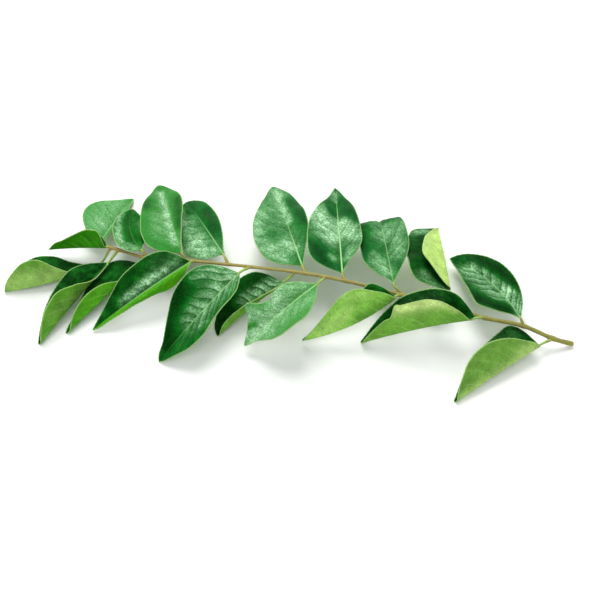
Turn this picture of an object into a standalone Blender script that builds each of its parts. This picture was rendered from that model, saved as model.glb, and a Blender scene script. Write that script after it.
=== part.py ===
"""A curry leaf sprig: one pinnate leaf with twenty leaflets on a slender arched rachis, lying on a table.

Lengths are in millimetres and angles in degrees until a mesh is made, which is in metres. X runs along the
rachis towards its cut end, Y away from the near row of leaflets, Z up from the table.
"""

import math
from collections import namedtuple

import bmesh
import bpy
import numpy as np

MM = 0.001
FAR, NEAR = 1, -1

# Rachis: a slender stem that tapers from the cut end to the tip and zigzags a little between leaflets.
RACHIS_LENGTH = 138.0
RACHIS_BASE_RADIUS = 0.58
RACHIS_TIP_RADIUS = 0.38
CUT_END_FLARE = 0.14  # how much wider its radius is at the cut end
CUT_END_REACH = 8.0
RACHIS_STEP = 4.0
RACHIS_SIDES = 2
# Distance from the cut end, sideways offset and height of the rachis's middle. It arches over the table.
RACHIS_ROUTE = (
    (0, 2.6, 0.8),
    (6, 1.5, 3.2),
    (15, 2.1, 5.8),
    (27, 0.5, 8.5),
    (36, 0.7, 10.2),
    (50, 0.4, 11.8),
    (67, 0.6, 13.0),
    (80, 0.1, 13.4),
    (95, -0.9, 12.7),
    (113, -1.8, 10.9),
    (127, -2.6, 9.2),
    (138, -0.8, 8.0),
)

# Leaflet blades and their stalks.
BLADE_THICKNESS = 0.4
STALK_HALF_WIDTH = 0.45
TIP_HALF_WIDTH = 0.25
STALK_GAP = 0.4  # between a stalk's foot and the rachis
FOLD_RUN = 1.6  # width beside the midrib over which a half folds up
TIP_BEND_FROM = 0.62  # share of the length at which a bent tip starts to turn down
TIP_BEND_RUN = 0.25
MARGIN_SPREAD = 1.4  # gathers the grid's columns towards the midrib, where it folds

# The grid of a leaflet, and the finer steps its curves are summed over.
ROWS = 14
STALK_ROWS = 2
COLUMNS = 8
SECTION_STEPS = 32
MIDRIB_STEPS = 60
PITCH_ROUNDS = 4

# A leaflet has two halves: TIP_SIDE lies nearer the rachis's tip and BASE_SIDE nearer its cut end.
#   along, stalk, stalk_heading, lift: the stalk's distance from the cut end, its length, its angle in plan
#     from the rachis and how far it climbs
#   heading, length, tip_height: the blade's angle in plan, its length and the height at which its tip ends
#   tip_half, base_half: each half's widths at the inner OUTLINE_PLACES
#   bend, tip_bend, sway: how far it turns down along its length, turns down near its tip, and turns in plan
#   roll, twist: how far the tip-side half is lifted, and how much that changes along the length
#   fold_tip, fold_base: how far each half is folded up along the midrib; past 90 it lies over the other half
#   ruffles: (half, place, span, widening, lift) of each swelling, notch or wave of a margin
Leaflet = namedtuple(
    "Leaflet",
    "name row along stalk stalk_heading lift heading length tip_half base_half tip_height "
    "bend tip_bend sway roll twist fold_tip fold_base ruffles",
    defaults=(10, 0, 0, 0, 0, 8, 8, ()),
)
TIP_SIDE, BASE_SIDE = 0, 1
OUTLINE_PLACES = (0, 0.04, 0.12, 0.25, 0.4, 0.55, 0.7, 0.85, 0.95, 1)  # shares of the blade's length

LEAFLETS = (
    Leaflet("leaflet_far_1", FAR, 15, 2.9, 45, 1.8, 39, 29.6, (1.8, 6.2, 10, 9.8, 8.4, 6, 3.2, 1.3),
            (1.2, 3, 5, 6.4, 6.6, 6, 4, 2), 3.5, sway=34, fold_tip=20, fold_base=12),
    Leaflet("leaflet_far_2", FAR, 36, 4.8, 65, 1.9, 75, 28.0, (3.4, 8.2, 10.2, 10.5, 10.5, 9.9, 8.7, 6.4),
            (2.6, 4.8, 7.2, 9, 8.6, 7, 4.2, 1.7), 5.0, fold_base=150),
    Leaflet("leaflet_far_3", FAR, 50, 4.4, 34, 1.5, 71, 35.0, (0.9, 4, 7, 7.4, 7, 6.4, 4.4, 2.4),
            (0.7, 2.4, 5, 6.8, 7, 6.6, 5, 2.6), 0.25, tip_bend=60, fold_tip=2),
    Leaflet("leaflet_far_4", FAR, 67, 2.6, 60, 0.6, 75, 40.5, (5.4, 9, 10, 9.6, 8.6, 6.2, 2.5, 0.9),
            (0.8, 2.9, 6.4, 6.8, 6.2, 5, 2.6, 1), 3.0, fold_tip=14, fold_base=20),
    Leaflet("leaflet_far_5", FAR, 78.5, 2.6, 55, 0.6, 63, 41.5, (6.6, 10, 11.2, 11, 9.6, 6.9, 3.6, 1.6),
            (0.9, 2, 3.8, 5.8, 6.4, 5.8, 4.2, 1.6), 1.6, fold_base=0),
    Leaflet("leaflet_far_6", FAR, 101, 3.4, 50, 0.9, 50, 30.5, (3.6, 6.4, 9, 8.8, 7.4, 6, 4.5, 2.6),
            (0.7, 1.5, 3.1, 4.4, 5.1, 5.1, 4.2, 2.4), 4.0, fold_tip=-18),
    Leaflet("leaflet_far_7", FAR, 113.5, 2.6, 38, 1.2, 59, 38.0, (5.8, 8.8, 9.9, 9.3, 8.2, 6.4, 3.1, 1.3),
            (0.5, 1, 2.2, 3.8, 5.4, 5.5, 3.4, 1.5), 0.2, fold_tip=14, fold_base=20),
    Leaflet("leaflet_far_8", FAR, 125.5, 2.8, 35, 1.4, 62, 21.8, (2.6, 4.4, 5.4, 5.4, 5, 4.2, 2.5, 1),
            (1, 2.4, 3.8, 4.8, 5, 4.4, 2.9, 1.2), 4.5, sway=-45, fold_tip=14, fold_base=-6),
    Leaflet("leaflet_far_9", FAR, 135, 8.4, 28, -2.6, 96, 22.0, (4.4, 6.8, 9, 10, 9.4, 7.4, 3.6, 1.4),
            (0.8, 1, 1.3, 1.6, 1.6, 1.3, 0.9, 0.6), 0.2, fold_base=-20),
    Leaflet("leaflet_near_1", NEAR, 6, 5.0, 42, 0.4, 46, 30.0, (5.8, 9.2, 9.2, 8.6, 7.6, 5.6, 3, 1),
            (2.8, 5, 8.2, 10.5, 11, 9.8, 6.4, 2.6), 0.2, fold_base=130, fold_tip=10),
    Leaflet("leaflet_near_2", NEAR, 26.5, 4.0, 38, 2.2, 17, 33.5, (3.4, 7.6, 10, 10.6, 9.8, 7.2, 3.8, 1.3),
            (0.9, 4.8, 8.8, 10.6, 10.4, 7.2, 4, 1.9), 0.35, bend=18, fold_tip=46, fold_base=114,
            ruffles=((BASE_SIDE, 0.6, 0.03, 0.12, 0), (BASE_SIDE, 0.67, 0.03, -0.1, 0))),
    Leaflet("leaflet_near_3", NEAR, 51, 2.6, 60, 1.4, 28.5, 30.2, (4.4, 7.4, 6.8, 5.6, 4, 2.8, 1.6, 0.7),
            (3.4, 6.4, 9.8, 10.4, 8.8, 6.2, 3.4, 1.5), 1.5, sway=42, fold_tip=30, fold_base=132),
    Leaflet("leaflet_near_4", NEAR, 72.5, 3.8, 62, 0.8, 47, 27.5, (0.8, 3.2, 5.5, 5.7, 5.4, 6.8, 3, 1),
            (1.7, 6, 9.6, 9.7, 8.3, 6.2, 2.4, 1), 2.8, bend=20, fold_tip=22, fold_base=35,
            ruffles=((TIP_SIDE, 0.49, 0.03, -0.2, -0.6), (TIP_SIDE, 0.68, 0.06, 0.12, 1.6))),
    Leaflet("leaflet_near_5", NEAR, 81.5, 4.4, 46, -2.2, 44, 25.0, (1.6, 5.2, 9.2, 10.4, 9.8, 8.2, 5.6, 3),
            (0.8, 1.4, 2.2, 2.8, 3.4, 3.8, 3.2, 1.6), 0.3, bend=-4, sway=-14, fold_tip=-8, fold_base=106),
    Leaflet("leaflet_near_6", NEAR, 94.5, 4.2, 53, 0.5, 57, 34.0, (4, 8.3, 11, 11, 9.4, 6.3, 3, 1.5),
            (2, 4.1, 5.4, 6, 7.3, 6.6, 3.8, 1.8), 0.2, bend=14, fold_base=28),
    Leaflet("leaflet_near_7", NEAR, 111, 2.8, 70, 2.0, 42, 34.8, (2.6, 6.4, 8.2, 8.3, 7.4, 5.2, 2.4, 0.9),
            (1, 2.6, 3.6, 2.4, 1.7, 1.3, 1, 0.7), 0.8, bend=12, roll=8, twist=-16,
            fold_tip=14, fold_base=-50),
    Leaflet("leaflet_near_8", NEAR, 127, 2.8, 60, -2.2, 57, 29.0, (4, 7.4, 9.4, 9, 6.8, 4.4, 2, 0.8),
            (0.6, 0.8, 1.6, 4.4, 5.6, 5.4, 3.8, 1.4), 0.2, bend=2, roll=-6, twist=18,
            fold_tip=-4, fold_base=118),
    Leaflet("leaflet_near_9", NEAR, 135, 5.0, 60, -2.2, 66, 31.0, (1.8, 4.6, 7.2, 7.5, 6.8, 5.2, 3, 1.1),
            (0.5, 0.8, 2, 6, 8.6, 8, 5.4, 2.4), 0.2, fold_tip=6, fold_base=108),
    Leaflet("leaflet_near_10", NEAR, 137.4, 7.8, 46, -5.2, 28, 28.3, (1.2, 2.4, 4.8, 8.2, 10, 10, 7.6, 4),
            (0.4, 0.8, 1.8, 5.2, 9, 9.2, 6.4, 3.4), 0.2, sway=25, fold_tip=0, fold_base=120),
    Leaflet("leaflet_terminal", NEAR, RACHIS_LENGTH, 0.9, 5, 0.1, 6, 19, (1.8, 3.4, 4.6, 4.6, 4, 3, 2, 1),
            (6.2, 7.4, 7.2, 6.2, 5.2, 4, 2.8, 1.4), 3.5, fold_base=110),
)


def smooth(knots, place):
    """The point at a place, its first coordinate, on a smooth curve through the knots."""
    knots = np.array(knots)
    piece = int(np.clip(np.searchsorted(knots[:, 0], place) - 1, 0, len(knots) - 2))
    before, start, end, after = knots[np.clip(np.arange(piece - 1, piece + 3), 0, len(knots) - 1)]
    run = end[0] - start[0]
    share = (place - start[0]) / run
    slope_start = (end - before) / (end[0] - before[0])
    slope_end = (after - start) / (after[0] - start[0])
    return (
        (2 * share**3 - 3 * share**2 + 1) * start
        + (share**3 - 2 * share**2 + share) * run * slope_start
        + (3 * share**2 - 2 * share**3) * end
        + (share**3 - share**2) * run * slope_end
    )


def rachis_middle(along):
    """The middle of the rachis at a distance from its cut end, on a smooth curve through its route."""
    _, sideways, height = smooth(RACHIS_ROUTE, along)
    return np.array([-along, sideways, height])


def rachis_radius(along):
    taper = (RACHIS_TIP_RADIUS - RACHIS_BASE_RADIUS) * along / RACHIS_LENGTH
    return RACHIS_BASE_RADIUS + taper + CUT_END_FLARE * np.exp(-along / CUT_END_REACH)


def direction(row, heading, pitch):
    """Unit vector from the rachis: heading turns from its tip towards the row's side, pitch lifts."""
    heading, pitch = math.radians(heading), math.radians(pitch)
    level = math.cos(pitch)
    return np.array([-math.cos(heading) * level, row * math.sin(heading) * level, math.sin(pitch)])


def stalk_start(leaf):
    """Distance from the rachis's middle, along the stalk, at which its flat foot clears the rachis."""
    if leaf.along >= RACHIS_LENGTH:
        return STALK_GAP
    angle = math.radians(leaf.stalk_heading)
    return (rachis_radius(leaf.along) + STALK_GAP + STALK_HALF_WIDTH * math.cos(angle)) / math.sin(angle)


def frames(leaf):
    """A leaflet's stalk ends, and its midrib's points with the (tip-side, up) directions at each."""
    root = rachis_middle(leaf.along)
    stalk_pitch = math.degrees(math.asin(leaf.lift / leaf.stalk))
    stalk_way = direction(leaf.row, leaf.stalk_heading, stalk_pitch)
    foot = root + stalk_way * stalk_start(leaf)
    base = root + stalk_way * leaf.stalk
    middle = (np.arange(MIDRIB_STEPS) + 0.5) / MIDRIB_STEPS
    late = np.clip((middle - TIP_BEND_FROM) / TIP_BEND_RUN, 0, 1)
    turn_down = leaf.bend * (middle - 0.5) + leaf.tip_bend * late
    heading = leaf.heading + leaf.sway * (0.5 - middle)
    pitch = 0.0
    for _ in range(PITCH_ROUNDS):  # settles the pitch so that the tip ends at its height
        ways = np.array([direction(leaf.row, h, pitch - d) for h, d in zip(heading, turn_down)])
        reach = base + np.vstack([np.zeros(3), np.cumsum(ways, axis=0)]) * leaf.length / MIDRIB_STEPS
        pitch += math.degrees((leaf.tip_height - reach[-1, 2]) / leaf.length)
    axes = []
    for way in np.vstack([ways, ways[-1:]]):
        aside = np.cross((0, 0, leaf.row), way)
        aside /= np.linalg.norm(aside)
        axes.append((aside, np.cross(way, aside) * leaf.row))
    return foot, base, reach, axes


def half_width(leaf, half, share):
    """Width of one half, which starts as wide as the stalk and ends as wide as the tip's own end."""
    widths = leaf.tip_half if half == TIP_SIDE else leaf.base_half
    _, full = smooth(list(zip(OUTLINE_PLACES, (STALK_HALF_WIDTH, *widths, TIP_HALF_WIDTH))), share)
    for side, place, span, widening, _ in leaf.ruffles:
        if side == half:
            full *= 1 + widening * math.exp(-(((share - place) / span) ** 2))
    least = STALK_HALF_WIDTH + (TIP_HALF_WIDTH - STALK_HALF_WIDTH) * share
    return max(full, least)


def section(leaf, half, share, reach):
    """Sideways and upward offset of a blade half at parts of its width, as the blade is folded there."""
    width = half_width(leaf, half, share)
    fold, sign = (leaf.fold_tip, 1) if half == TIP_SIDE else (leaf.fold_base, -1)
    roll = sign * (leaf.roll + leaf.twist * (share - 0.5))
    steps = (np.arange(SECTION_STEPS) + 0.5) / SECTION_STEPS * width
    angle = np.radians(roll + fold * np.clip(steps / FOLD_RUN, 0, 1))
    run = width / SECTION_STEPS
    sideways = np.concatenate([[0], np.cumsum(np.cos(angle)) * run])
    upward = np.concatenate([[0], np.cumsum(np.sin(angle)) * run])
    for side, place, span, _, lift in leaf.ruffles:
        if side == half:
            rise = lift * math.exp(-(((share - place) / span) ** 2))
            upward += rise * np.linspace(0, 1, SECTION_STEPS + 1) ** 2
    parts = np.linspace(0, 1, SECTION_STEPS + 1)
    return sign * np.interp(reach, parts, sideways), np.interp(reach, parts, upward)


def blade_point(leaf, path, share, across):
    """Point of the blade: share along the midrib, across from -1, the cut-end side's margin, to 1."""
    _, _, points, axes = path
    place = share * MIDRIB_STEPS
    low = min(int(place), MIDRIB_STEPS - 1)
    point = points[low] + (points[low + 1] - points[low]) * (place - low)
    aside, up = axes[round(place)]
    half = TIP_SIDE if across >= 0 else BASE_SIDE
    sideways, upward = section(leaf, half, share, abs(across))
    return point + aside * sideways + up * upward


def stalk_point(path, share, across):
    """Point of the flat stalk: share from its foot, 0, to the blade's base, 1."""
    foot, base, _, axes = path
    return foot + (base - foot) * share + axes[0][0] * across * STALK_HALF_WIDTH


def material(name, colour, roughness):
    made = bpy.data.materials.new(name)
    made.use_nodes = True
    shader = made.node_tree.nodes["Principled BSDF"]
    shader.inputs["Base Color"].default_value = (*colour, 1)
    shader.inputs["Roughness"].default_value = roughness
    return made


def add_object(name, data, finish, collection):
    obj = bpy.data.objects.new(name, data)
    obj.data.materials.append(finish)
    collection.objects.link(obj)
    return obj


def make_rachis(collection):
    curve = bpy.data.curves.new("rachis", "CURVE")
    curve.dimensions = "3D"
    curve.bevel_depth = MM
    curve.bevel_resolution = RACHIS_SIDES
    curve.use_fill_caps = True
    count = round(RACHIS_LENGTH / RACHIS_STEP) + 1
    spline = curve.splines.new("POLY")
    spline.points.add(count - 1)
    for point, along in zip(spline.points, np.linspace(0, RACHIS_LENGTH, count)):
        point.co = (*(rachis_middle(along) * MM), 1)
        point.radius = rachis_radius(along)
    return add_object("rachis", curve, material("rachis", (0.23, 0.21, 0.07), 0.6), collection)


def make_leaflet(leaf, collection):
    """A grid bent to the leaflet's middle surface, then thickened."""
    rows = STALK_ROWS + ROWS
    mesh = bmesh.new()
    bmesh.ops.create_grid(mesh, x_segments=rows, y_segments=COLUMNS, size=1)
    path = frames(leaf)
    for vertex in mesh.verts:
        row = (vertex.co.x + 1) / 2 * rows
        across = vertex.co.y
        if row < STALK_ROWS - 0.5:
            point = stalk_point(path, row / STALK_ROWS, across)
        else:
            share = (row - STALK_ROWS) / ROWS
            point = blade_point(leaf, path, share, math.copysign(abs(across) ** MARGIN_SPREAD, across))
        vertex.co = point * MM
    bmesh.ops.recalc_face_normals(mesh, faces=mesh.faces)
    data = bpy.data.meshes.new(leaf.name)
    mesh.to_mesh(data)
    mesh.free()
    data.shade_smooth()
    obj = add_object(leaf.name, data, material(leaf.name, (0.03, 0.2, 0.04), 0.4), collection)
    wall = obj.modifiers.new("thickness", "SOLIDIFY")
    wall.thickness = BLADE_THICKNESS * MM
    wall.offset = 0
    return obj


def centre(collection):
    """Moves every piece so that the origin lies under the sprig's middle, on the table."""
    graph = bpy.context.evaluated_depsgraph_get()
    points = []
    for obj in collection.objects:
        finished = obj.evaluated_get(graph)
        points += [vertex.co[:] for vertex in finished.to_mesh().vertices]
        finished.to_mesh_clear()
    lowest, highest = np.min(points, axis=0), np.max(points, axis=0)
    middle = (lowest + highest) / 2
    for obj in collection.objects:
        obj.location = (-middle[0], -middle[1], -lowest[2])


def main():
    for obj in list(bpy.data.objects):
        bpy.data.objects.remove(obj)
    sprig = bpy.data.collections.new("curry_leaf_sprig")
    bpy.context.scene.collection.children.link(sprig)
    make_rachis(sprig)
    for leaf in LEAFLETS:
        make_leaflet(leaf, sprig)
    centre(sprig)


if __name__ == "__main__":
    main()
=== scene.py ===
"""A curry leaf sprig on a pale table: glossy folded and open leaflets on a slender hairy rachis.

Shapes are worked out in millimetres, in the sprig's own route coordinates (X runs from the cut end, at 0,
towards the rachis's tip, at minus its length), and moved onto the frame when a mesh is made.
"""

import math
import random
from collections import namedtuple

import bmesh
import bpy
import numpy as np
from mathutils import Matrix, Quaternion, Vector, noise


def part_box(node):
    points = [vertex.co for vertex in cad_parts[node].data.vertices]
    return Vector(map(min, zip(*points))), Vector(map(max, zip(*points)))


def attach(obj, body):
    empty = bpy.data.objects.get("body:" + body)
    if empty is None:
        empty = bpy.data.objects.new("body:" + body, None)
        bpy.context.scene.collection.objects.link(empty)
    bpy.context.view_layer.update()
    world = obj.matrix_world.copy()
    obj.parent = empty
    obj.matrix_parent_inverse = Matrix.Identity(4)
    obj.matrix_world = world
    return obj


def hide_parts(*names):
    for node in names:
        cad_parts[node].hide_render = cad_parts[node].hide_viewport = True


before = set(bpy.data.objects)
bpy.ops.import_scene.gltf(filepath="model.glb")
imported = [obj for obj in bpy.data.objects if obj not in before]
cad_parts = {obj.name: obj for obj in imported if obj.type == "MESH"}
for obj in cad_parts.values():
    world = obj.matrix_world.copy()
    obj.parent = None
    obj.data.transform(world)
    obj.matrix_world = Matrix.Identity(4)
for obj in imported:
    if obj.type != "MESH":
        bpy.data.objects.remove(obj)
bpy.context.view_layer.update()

MM = 0.001
TINY = 1e-9  # keeps divisions safe
FAR, NEAR = 1, -1
TIP_SIDE, BASE_SIDE = 0, 1
OUTLINE_PLACES = (0, 0.04, 0.12, 0.25, 0.4, 0.55, 0.7, 0.85, 0.95, 1)  # shares of a blade's length

# ---------------------------------------------------------------- the sprig's shape

RACHIS_LENGTH = 138.0
RACHIS_BASE_RADIUS = 0.58
RACHIS_TIP_RADIUS = 0.38
CUT_END_FLARE = 0.14  # how much wider its radius is at the cut end
CUT_END_REACH = 8.0
# Distance from the cut end, sideways offset and height of the rachis's middle.
RACHIS_ROUTE = (
    (0, 2.6, 0.8),
    (6, 1.5, 3.2),
    (15, 2.1, 5.8),
    (27, 0.5, 8.5),
    (36, 0.7, 10.2),
    (50, 0.4, 11.8),
    (67, 0.6, 13.0),
    (80, 0.1, 13.4),
    (95, -0.9, 12.7),
    (113, -1.8, 10.9),
    (127, -2.6, 9.2),
    (138, -0.8, 8.0),
)
RACHIS_ROWS = 460
RACHIS_COLUMNS = 16
NODE_SWELLING = 0.22  # how much thicker the rachis is where a leaflet joins it
NODE_REACH = 1.3
CUT_FACE_DEPTH = 0.05
# The skin's ridges: radians from end to end, how many go round the stem, height as a share of its radius.
RIDGES = ((0, 5, 0.04), (190, 2, 0.04), (77, -1, 0.03))
HAIR_COUNT = 420
HAIR_LENGTHS = (0.25, 0.55)
HAIR_LEANS = (-0.2, 0.7)
HAIR_RADIUS = 0.04
HAIR_ROOT = 0.9  # share of the stem's radius at which a hair starts
HAIR_STEP = 0.1  # distance over which the stem's way is taken
HAIR_START = 1  # distance from the cut end at which the hairs start
HAIR_SEED = 7

BLADE_THICKNESS = 0.26
BASE_HALF_WIDTH = 0.45
TIP_HALF_WIDTH = 0.14
FOLD_RUN = 1.6  # width beside the midrib over which a half folds up
LEAST_FOLD = 1e-3  # stands for a fold of 0, in radians
TIP_BEND_FROM = 0.62
TIP_BEND_RUN = 0.25
MARGIN_SPREAD = 1.25  # gathers the grid's columns towards the midrib
ROWS = 120
COLUMNS = 48
MIDRIB_STEPS = 60
PITCH_ROUNDS = 4
SEAM_GAP = 1e-4  # points closer than this are one, where a tube closes
NOISE_SHIFTS = (7.3, 3.1, 5.7)  # how far apart the noises of two seeds are taken

# A leaflet's shape is that of its node in the frame. along, stalk, stalk_heading and lift set its stalk;
# heading, length and tip_height set its blade; tip_half and base_half the widths of the half nearer the
# rachis's tip, and of the other, at the inner OUTLINE_PLACES; bend, tip_bend, sway, roll and twist how it
# curves; fold_tip and fold_base how far each half is folded up; ruffles are (half, place, span, widening,
# lift) of a margin. Lengths are in millimetres and angles in degrees.
Leaflet = namedtuple(
    "Leaflet",
    "name row along stalk stalk_heading lift heading length tip_half base_half tip_height "
    "bend tip_bend sway roll twist fold_tip fold_base ruffles",
    defaults=(10, 0, 0, 0, 0, 8, 8, ()),
)

LEAFLETS = (
    Leaflet("leaflet_far_1", FAR, 15, 2.9, 45, 1.8, 39, 29.6, (1.8, 6.2, 10, 9.8, 8.4, 6, 3.2, 1.3),
            (1.2, 3, 5, 6.4, 6.6, 6, 4, 2), 3.5, sway=34, fold_tip=20, fold_base=12),
    Leaflet("leaflet_far_2", FAR, 36, 4.8, 65, 1.9, 75, 28.0, (3.4, 8.2, 10.2, 10.5, 10.5, 9.9, 8.7, 6.4),
            (2.6, 4.8, 7.2, 9, 8.6, 7, 4.2, 1.7), 5.0, fold_base=150),
    Leaflet("leaflet_far_3", FAR, 50, 4.4, 34, 1.5, 71, 35.0, (0.9, 4, 7, 7.4, 7, 6.4, 4.4, 2.4),
            (0.7, 2.4, 5, 6.8, 7, 6.6, 5, 2.6), 0.25, tip_bend=60, fold_tip=2),
    Leaflet("leaflet_far_4", FAR, 67, 2.6, 60, 0.6, 75, 40.5, (5.4, 9, 10, 9.6, 8.6, 6.2, 2.5, 0.9),
            (0.8, 2.9, 6.4, 6.8, 6.2, 5, 2.6, 1), 3.0, fold_tip=14, fold_base=20),
    Leaflet("leaflet_far_5", FAR, 78.5, 2.6, 55, 0.6, 63, 41.5, (6.6, 10, 11.2, 11, 9.6, 6.9, 3.6, 1.6),
            (0.9, 2, 3.8, 5.8, 6.4, 5.8, 4.2, 1.6), 1.6, fold_base=0),
    Leaflet("leaflet_far_6", FAR, 101, 3.4, 50, 0.9, 50, 30.5, (3.6, 6.4, 9, 8.8, 7.4, 6, 4.5, 2.6),
            (0.7, 1.5, 3.1, 4.4, 5.1, 5.1, 4.2, 2.4), 4.0, fold_tip=-18),
    Leaflet("leaflet_far_7", FAR, 113.5, 2.6, 38, 1.2, 59, 38.0, (5.8, 8.8, 9.9, 9.3, 8.2, 6.4, 3.1, 1.3),
            (0.5, 1, 2.2, 3.8, 5.4, 5.5, 3.4, 1.5), 0.2, fold_tip=14, fold_base=20),
    Leaflet("leaflet_far_8", FAR, 125.5, 2.8, 35, 1.4, 62, 21.8, (2.6, 4.4, 5.4, 5.4, 5, 4.2, 2.5, 1),
            (1, 2.4, 3.8, 4.8, 5, 4.4, 2.9, 1.2), 4.5, sway=-45, fold_tip=14, fold_base=-6),
    Leaflet("leaflet_far_9", FAR, 135, 8.4, 28, -2.6, 96, 22.0, (4.4, 6.8, 9, 10, 9.4, 7.4, 3.6, 1.4),
            (0.8, 1, 1.3, 1.6, 1.6, 1.3, 0.9, 0.6), 0.2, fold_base=-20),
    Leaflet("leaflet_near_1", NEAR, 6, 5.0, 42, 0.4, 46, 30.0, (5.8, 9.2, 9.2, 8.6, 7.6, 5.6, 3, 1),
            (2.8, 5, 8.2, 10.5, 11, 9.8, 6.4, 2.6), 0.2, fold_base=130, fold_tip=10),
    Leaflet("leaflet_near_2", NEAR, 26.5, 4.0, 38, 2.2, 17, 33.5, (3.4, 7.6, 10, 10.6, 9.8, 7.2, 3.8, 1.3),
            (0.9, 4.8, 8.8, 10.6, 10.4, 7.2, 4, 1.9), 0.35, bend=18, fold_tip=46, fold_base=114,
            ruffles=((BASE_SIDE, 0.6, 0.03, 0.12, 0), (BASE_SIDE, 0.67, 0.03, -0.1, 0))),
    Leaflet("leaflet_near_3", NEAR, 51, 2.6, 60, 1.4, 28.5, 30.2, (4.4, 7.4, 6.8, 5.6, 4, 2.8, 1.6, 0.7),
            (3.4, 6.4, 9.8, 10.4, 8.8, 6.2, 3.4, 1.5), 1.5, sway=42, fold_tip=30, fold_base=132),
    Leaflet("leaflet_near_4", NEAR, 72.5, 3.8, 62, 0.8, 47, 27.5, (0.8, 3.2, 5.5, 5.7, 5.4, 6.8, 3, 1),
            (1.7, 6, 9.6, 9.7, 8.3, 6.2, 2.4, 1), 2.8, bend=20, fold_tip=22, fold_base=35,
            ruffles=((TIP_SIDE, 0.49, 0.03, -0.2, -0.6), (TIP_SIDE, 0.68, 0.06, 0.12, 1.6))),
    Leaflet("leaflet_near_5", NEAR, 81.5, 4.4, 46, -2.2, 44, 25.0, (1.6, 5.2, 9.2, 10.4, 9.8, 8.2, 5.6, 3),
            (0.8, 1.4, 2.2, 2.8, 3.4, 3.8, 3.2, 1.6), 0.3, bend=-4, sway=-14, fold_tip=-8, fold_base=106),
    Leaflet("leaflet_near_6", NEAR, 94.5, 4.2, 53, 0.5, 57, 34.0, (4, 8.3, 11, 11, 9.4, 6.3, 3, 1.5),
            (2, 4.1, 5.4, 6, 7.3, 6.6, 3.8, 1.8), 0.2, bend=14, fold_base=28),
    Leaflet("leaflet_near_7", NEAR, 111, 2.8, 70, 2.0, 42, 34.8, (2.6, 6.4, 8.2, 8.3, 7.4, 5.2, 2.4, 0.9),
            (1, 2.6, 3.6, 2.4, 1.7, 1.3, 1, 0.7), 0.8, bend=12, roll=8, twist=-16,
            fold_tip=14, fold_base=-50),
    Leaflet("leaflet_near_8", NEAR, 127, 2.8, 60, -2.2, 57, 29.0, (4, 7.4, 9.4, 9, 6.8, 4.4, 2, 0.8),
            (0.6, 0.8, 1.6, 4.4, 5.6, 5.4, 3.8, 1.4), 0.2, bend=2, roll=-6, twist=18,
            fold_tip=-4, fold_base=118),
    Leaflet("leaflet_near_9", NEAR, 135, 5.0, 60, -2.2, 66, 31.0, (1.8, 4.6, 7.2, 7.5, 6.8, 5.2, 3, 1.1),
            (0.5, 0.8, 2, 6, 8.6, 8, 5.4, 2.4), 0.2, fold_tip=6, fold_base=108),
    Leaflet("leaflet_near_10", NEAR, 137.4, 7.8, 46, -5.2, 28, 28.3, (1.2, 2.4, 4.8, 8.2, 10, 10, 7.6, 4),
            (0.4, 0.8, 1.8, 5.2, 9, 9.2, 6.4, 3.4), 0.2, sway=25, fold_tip=0, fold_base=120),
    Leaflet("leaflet_terminal", NEAR, RACHIS_LENGTH, 0.9, 5, 0.1, 6, 19, (1.8, 3.4, 4.6, 4.6, 4, 3, 2, 1),
            (6.2, 7.4, 7.2, 6.2, 5.2, 4, 2.8, 1.4), 3.5, fold_base=110),
)

# ---------------------------------------------------------------- each leaflet's looks

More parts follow.
